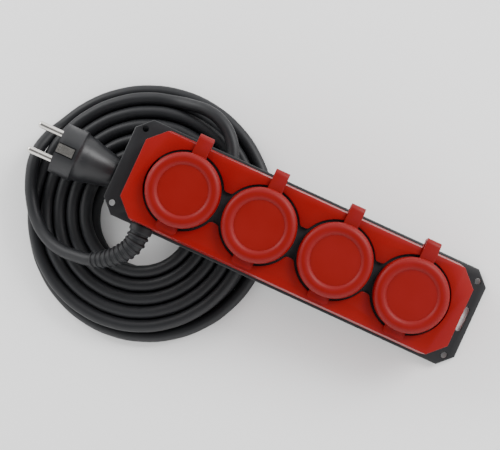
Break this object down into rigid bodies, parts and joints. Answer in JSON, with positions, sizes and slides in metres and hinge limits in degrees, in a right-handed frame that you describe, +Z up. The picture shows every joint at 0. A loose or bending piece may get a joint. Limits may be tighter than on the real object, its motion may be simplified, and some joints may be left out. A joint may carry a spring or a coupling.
{
  "type": "portable socket outlet",
  "caption": "Portable power socket strip with hinged lids on a flanged base plate, its rubber cable wound in a flat coil and its earthed two-pin plug resting on it.",
  "frame": {"origin": "on the ground, below the middle of the box of the strip alone, without its cable", "axes": "+X along the strip from the cable end to the end with the hanging slot, +Y towards the lids' hinges, +Z up; the strip leans 8.7 degrees about Y, cable end up"},
  "size_m": [0.3347, 0.192, 0.0803],
  "materials": {
    "plate_black": "satin black plastic",
    "rubber_black": "matt black rubber",
    "housing_red": "semi-gloss red plastic",
    "lid_red": "satin soft red plastic",
    "insert_black": "matt black plastic",
    "tray_ivory": "matt ivory plastic",
    "contact_brass": "plain brass",
    "nickel": "nickel plated",
    "screw_steel": "zinc plated",
    "core_brown": "brown insulation",
    "core_blue": "blue insulation",
    "core_green_yellow": "green and yellow insulation",
    "cable_black": "matt black rubber",
    "plug_black": "matt black rubber"
  },
  "bodies": {
    "root": {"base_plate": "plate_black", "base_gasket": "rubber_black", "cover": "housing_red", "socket_panel": "insert_black", "socket_1": "insert_black", "socket_2": "insert_black", "socket_3": "insert_black", "socket_4": "insert_black", "contact_tray": "tray_ivory", "hinge_pins": "screw_steel", "line_busbar": "contact_brass", "neutral_busbar": "contact_brass", "earth_rail": "nickel", "terminals": "contact_brass", "terminal_screws": "screw_steel", "wire_line": "core_brown", "wire_neutral": "core_blue", "wire_earth": "core_green_yellow", "cable_end": "cable_black", "cord_clamp": "tray_ivory", "clamp_screws": "screw_steel", "insert_screws": "screw_steel", "case_screws": "screw_steel", "cable_gland": "rubber_black", "bend_sleeve": "rubber_black", "supply_cable": "cable_black", "cable_coil": "cable_black", "plug_cable": "cable_black", "plug_body": "plug_black", "plug_face": "insert_black", "plug_pins": "nickel", "plug_earth_clips": "nickel", "plug_sleeve": "plug_black"},
    "lid_body_1": {"lid_1": "lid_red", "lid_seal_1": "rubber_black"},
    "lid_body_2": {"lid_2": "lid_red", "lid_seal_2": "rubber_black"},
    "lid_body_3": {"lid_3": "lid_red", "lid_seal_3": "rubber_black"},
    "lid_body_4": {"lid_4": "lid_red", "lid_seal_4": "rubber_black"}
  },
  "joints": [
    {"name": "lid_1_hinge", "type": "hinge", "parent": "root", "child": "lid_body_1", "pos_m": [-0.07717, 0.0344, 0.06275], "axis": [-0.9885, 0, 0.1513], "range_deg": [0, 135]},
    {"name": "lid_2_hinge", "type": "hinge", "parent": "root", "child": "lid_body_2", "pos_m": [-0.0228, 0.0344, 0.05443], "axis": [-0.9885, 0, 0.1513], "range_deg": [0, 135]},
    {"name": "lid_3_hinge", "type": "hinge", "parent": "root", "child": "lid_body_3", "pos_m": [0.03157, 0.0344, 0.04611], "axis": [-0.9885, 0, 0.1513], "range_deg": [0, 135]},
    {"name": "lid_4_hinge", "type": "hinge", "parent": "root", "child": "lid_body_4", "pos_m": [0.08593, 0.0344, 0.03779], "axis": [-0.9885, 0, 0.1513], "range_deg": [0, 135]}
  ]
}
